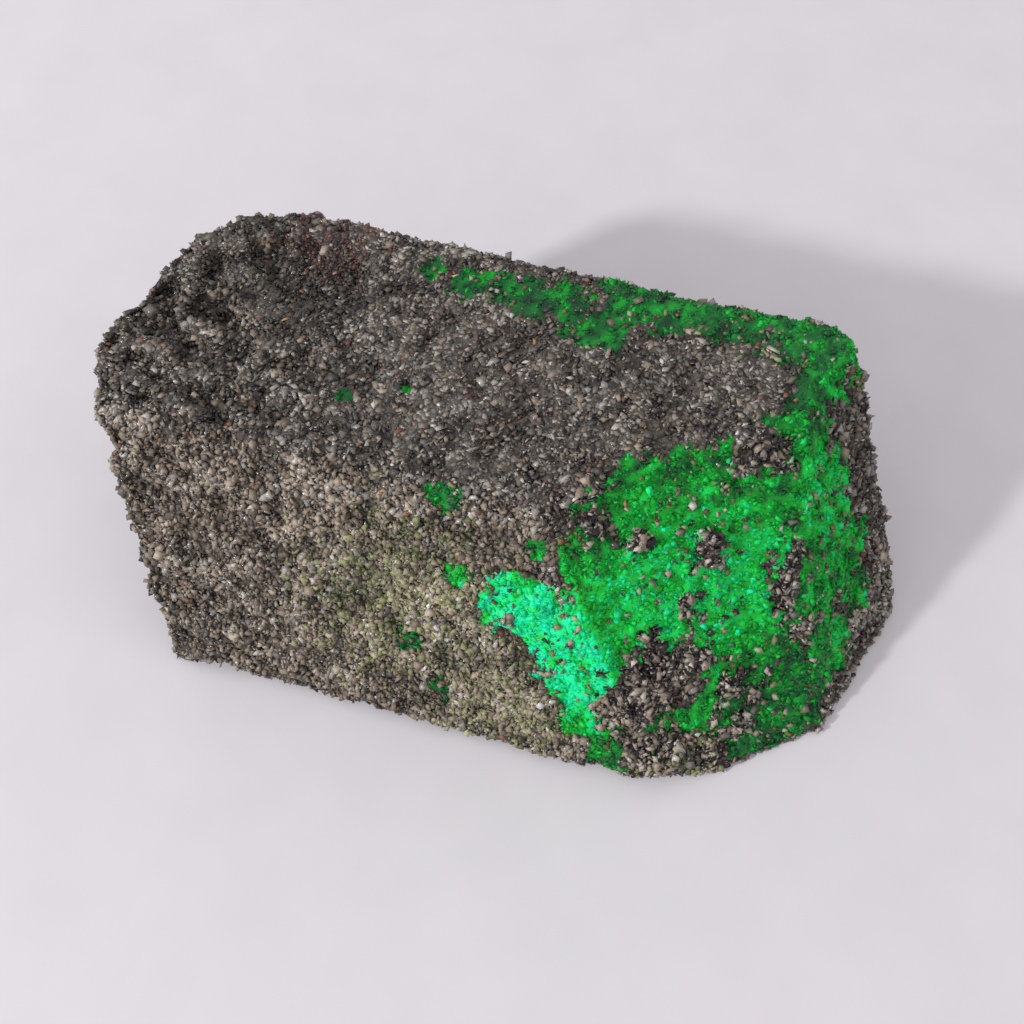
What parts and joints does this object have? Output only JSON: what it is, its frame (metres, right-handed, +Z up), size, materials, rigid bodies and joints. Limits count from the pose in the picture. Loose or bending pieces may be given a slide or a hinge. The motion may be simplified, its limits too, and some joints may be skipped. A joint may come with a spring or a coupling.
{
  "type": "raw emerald crystal",
  "caption": "Stubby, flattened hexagonal emerald prism with sloping end faces, a broken end and a crust of mica and quartz grit.",
  "frame": {"origin": "under the middle of the crystal, at the surface it rests on", "axes": "+X along the crystal towards the end with the sloping faces, +Y towards the back, +Z up"},
  "size_m": [0.0452, 0.0268, 0.0138],
  "materials": {
    "crusted_emerald": "matte",
    "bare_emerald": "satin"
  },
  "bodies": {
    "root": {"emerald_crystal": "crusted_emerald"}
  },
  "joints": []
}
